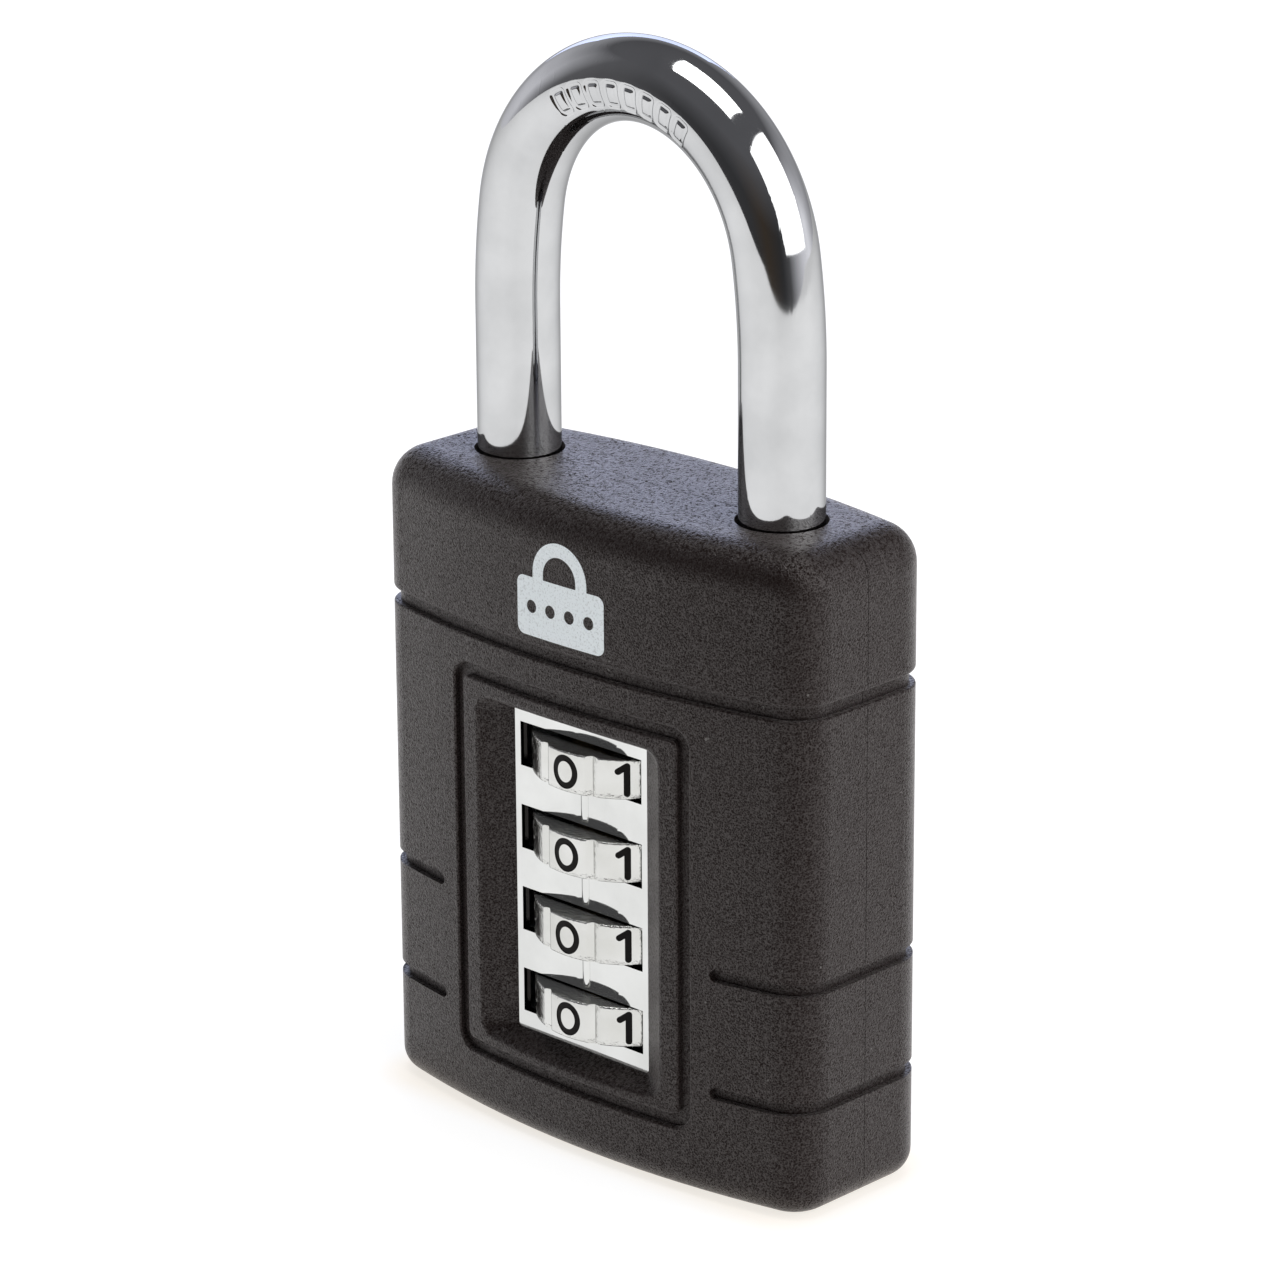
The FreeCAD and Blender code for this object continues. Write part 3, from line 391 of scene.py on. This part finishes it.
def build_shackle(material):
    """The bent bar as one swept mesh: chamfered ends, heel groove and the row of stamped frames."""
    mesh = bmesh.new()
    depth = Vector((0, -1, 0))
    stamp_low, stamp_high = (math.radians(limit) for limit in STAMP_BAND)
    turns = spread(stamp_low, stamp_high, STAMP_STEP / BAR_RADIUS)
    turns += spread(stamp_high, stamp_low + 2 * math.pi, math.radians(TURN_STEP))
    rings = []
    for point, out, radius in bar_rows():
        angle = math.atan2(out.x, out.z)
        ring = []
        for turn in turns:
            reach = radius
            if stamp_low < turn < stamp_high:
                reach -= STAMP_DEPTH * stamp(angle, CROWN_RADIUS + radius * math.cos(turn))
            outward = math.cos(turn) * out + math.sin(turn) * depth
            ring.append(mesh.verts.new((point + reach * outward) * MM))
        rings.append(ring)
    around = len(turns)
    for a, b in zip(rings, rings[1:]):
        for k in range(around):
            mesh.faces.new((a[k], a[(k + 1) % around], b[(k + 1) % around], b[k]))
    mesh.faces.new(list(reversed(rings[0])))
    mesh.faces.new(rings[-1])
    bmesh.ops.recalc_face_normals(mesh, faces=mesh.faces)
    bar = finish_piece(mesh, "shackle_bar", material)
    bar.data.set_sharp_from_angle(angle=math.radians(SHARP_EDGE))
    return bar


def finish_piece(mesh, name, material):
    """A smooth-shaded object in the scene, made from the finished mesh."""
    data = bpy.data.meshes.new(name)
    mesh.to_mesh(data)
    mesh.free()
    for face in data.polygons:
        face.use_smooth = True
    data.materials.append(material)
    piece = bpy.data.objects.new(name, data)
    bpy.context.scene.collection.objects.link(piece)
    return piece


# ================================================================ studio
def direction(azimuth, elevation):
    """Unit vector towards an azimuth (0 is -Y, 90 is +X) and an elevation, in degrees."""
    a, e = math.radians(azimuth), math.radians(elevation)
    return Vector((math.sin(a) * math.cos(e), -math.cos(a) * math.cos(e), math.sin(e)))


def softbox(name, azimuth, elevation, distance, width, height, radiance, tint=(1, 1, 1)):
    """Rectangular light that faces the object and is hidden from the camera; sizes in metres."""
    data = bpy.data.lights.new(name, "AREA")
    data.shape = "RECTANGLE"
    data.size = width
    data.size_y = height
    data.energy = radiance * math.pi * width * height
    data.color = tint
    lamp = bpy.data.objects.new(name, data)
    back = direction(azimuth, elevation)
    lamp.location = Vector((0, 0, LAMP_AIM)) + back * distance
    lamp.rotation_mode = "QUATERNION"
    lamp.rotation_quaternion = back.to_track_quat("Z", "Y")
    lamp.visible_camera = False
    bpy.context.scene.collection.objects.link(lamp)


def surroundings():
    """Plain white to the camera; to all else a grey room, dark in front, lighter to the left and behind."""
    world = bpy.data.worlds.new("studio")
    bpy.context.scene.world = world
    world.use_nodes = True
    world.node_tree.nodes.clear()
    nodes = Nodes(world.node_tree)
    x, y, z = nodes.axes(nodes.add("ShaderNodeTexCoord").outputs["Generated"])
    turn = nodes.math("ARCTAN2", x, nodes.math("MULTIPLY", y, -1.0))
    place = nodes.math("ADD", nodes.math("DIVIDE", turn, 2 * math.pi), 0.5)

    def stop(azimuth, level, warm=0.0):
        return (azimuth + 180) / 360, rgb(level * (1 + warm), level, level * (1 + 0.06 - warm))

    wall = nodes.ramp(place, [stop(-180, 0.55), stop(-150, 0.75), stop(-105, 1.10), stop(-76, 0.90),
                              stop(-54, 0.16), stop(-30, 0.06), stop(0, 0.05), stop(26, 0.045, 0.3),
                              stop(58, 0.04), stop(76, 0.10), stop(116, 0.90), stop(140, 1.20),
                              stop(162, 0.70), stop(180, 0.55)])
    upper = nodes.between(nodes.math("ARCSINE", z), *(math.radians(limit) for limit in WALL_TOP))
    room = nodes.blend(upper, wall, rgb(0.13, 0.13, 0.14))
    dim = nodes.add("ShaderNodeBackground", {"Color": room, "Strength": 1.0})
    white = nodes.add("ShaderNodeBackground", {"Color": WHITE, "Strength": 1.0})
    seen = nodes.add("ShaderNodeLightPath").outputs["Is Camera Ray"]
    both = nodes.add("ShaderNodeMixShader", {0: seen, 1: dim.outputs[0], 2: white.outputs[0]})
    nodes.add("ShaderNodeOutputWorld", {"Surface": both.outputs[0]})


def floor():
    """Softly glowing white floor with painted light: painted warm bounce light and shade right beside the
    lock, a painted pool of brighter glow to the left; ends in front of it.
    """
    material, nodes, shader = new_material("studio_floor", Roughness=0.9, Emission_Strength=FLOOR_GLOW)
    x, y, _ = nodes.axes(nodes.place())

    def beyond(offset, limit):
        outside = nodes.math("SUBTRACT", nodes.math("ABSOLUTE", offset), limit * MM)
        outside = nodes.math("MAXIMUM", outside, 0.0)
        return nodes.math("MULTIPLY", outside, outside)

    # Painted warm bounce light and shade: right beside the lock the floor's colour and glow are warmer and a
    # little darker.
    wide, deep = PAINTED_BOUNCE_CORE
    away = nodes.math("SQRT", nodes.math("ADD", beyond(x, wide), beyond(y, deep)))
    clear = nodes.between(away, *(limit * MM for limit in PAINTED_BOUNCE_BAND))
    cloud = nodes.noise(nodes.place(), 3.0)
    white = nodes.blend(cloud, rgb(0.30, 0.298, 0.294), rgb(0.31, 0.309, 0.307))
    feed(nodes, shader["Base Color"], nodes.blend(clear, rgb(0.30, 0.28, 0.26), white))
    front = direction(CAMERA_AZIMUTH, 0)
    right = direction(CAMERA_AZIMUTH + 90, 0)
    aside = nodes.math("ADD", nodes.math("MULTIPLY", x, right.x), nodes.math("MULTIPLY", y, right.y))
    # Painted light: the floor's glow is raised into a brighter pool to the left of the lock.
    painted_left_light = nodes.between(aside, *(limit * MM for limit in PAINTED_LEFT_LIGHT_BAND))
    lit = nodes.blend(painted_left_light, WHITE, rgb(1.12, 1.12, 1.12))
    feed(nodes, shader["Emission Color"], nodes.blend(clear, rgb(0.97, 0.93, 0.87), lit))
    mesh = bmesh.new()
    corners = [(-FLOOR_REACH, FLOOR_REACH), (-FLOOR_REACH, -FLOOR_REACH),
               (FLOOR_FRONT, -FLOOR_REACH), (FLOOR_FRONT, FLOOR_REACH)]
    mesh.faces.new([mesh.verts.new(front * u + right * v) for u, v in corners])
    bmesh.ops.subdivide_edges(mesh, edges=mesh.edges, cuts=7, use_grid_fill=True)
    bmesh.ops.recalc_face_normals(mesh, faces=mesh.faces)
    piece = finish_piece(mesh, "studio_floor", material)


def studio():
    """World, floor and the three lights."""
    surroundings()
    floor()
    softbox("overhead", 44, 90, distance=1.25, width=0.8, height=0.8, radiance=4.0)
    softbox("right_softbox", 99, 32, distance=1.0, width=1.2, height=1.0, radiance=2.0)
    softbox("back_light", -134, 18, distance=1.0, width=0.6, height=0.36, radiance=2.15,
            tint=(0.78, 0.90, 1.34))


def camera():
    """The camera, aimed at a point on the lock's axis and then rolled."""
    back = direction(CAMERA_AZIMUTH, CAMERA_ELEVATION)
    data = bpy.data.cameras.new("camera")
    data.sensor_width = CAMERA_SENSOR
    data.lens = CAMERA_LENS
    data.shift_x, data.shift_y = CAMERA_SHIFT
    data.clip_start, data.clip_end = CAMERA_CLIP
    eye = bpy.data.objects.new("camera", data)
    eye.location = Vector((0, 0, CAMERA_AIM_HEIGHT * MM)) + back * (CAMERA_DISTANCE * MM)
    eye.rotation_mode = "QUATERNION"
    right = Vector((math.cos(math.radians(CAMERA_AZIMUTH)), math.sin(math.radians(CAMERA_AZIMUTH)), 0))
    up = back.cross(right)
    turn = math.radians(CAMERA_ROLL)
    side = right * math.cos(turn) + up * math.sin(turn)
    top = up * math.cos(turn) - right * math.sin(turn)
    eye.rotation_quaternion = Matrix((side, top, back)).transposed().to_quaternion()
    bpy.context.scene.collection.objects.link(eye)
    bpy.context.scene.camera = eye


# ================================================================ the object
def dress_nodes(materials):
    """Give every CAD node its slot's material."""
    for part in frame["record"]["subparts"]:
        node = frame["nodes"][part["node"]]
        node.data.materials.clear()
        node.data.materials.append(materials[part["material_slot"]])


bpy.context.scene.view_settings.view_transform = "Standard"
studio()
camera()
slots = slot_materials()
dress_nodes(slots)
bar = build_shackle(slots["shackle_chrome"])
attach(bar, "shackle_unit")
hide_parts("shackle")
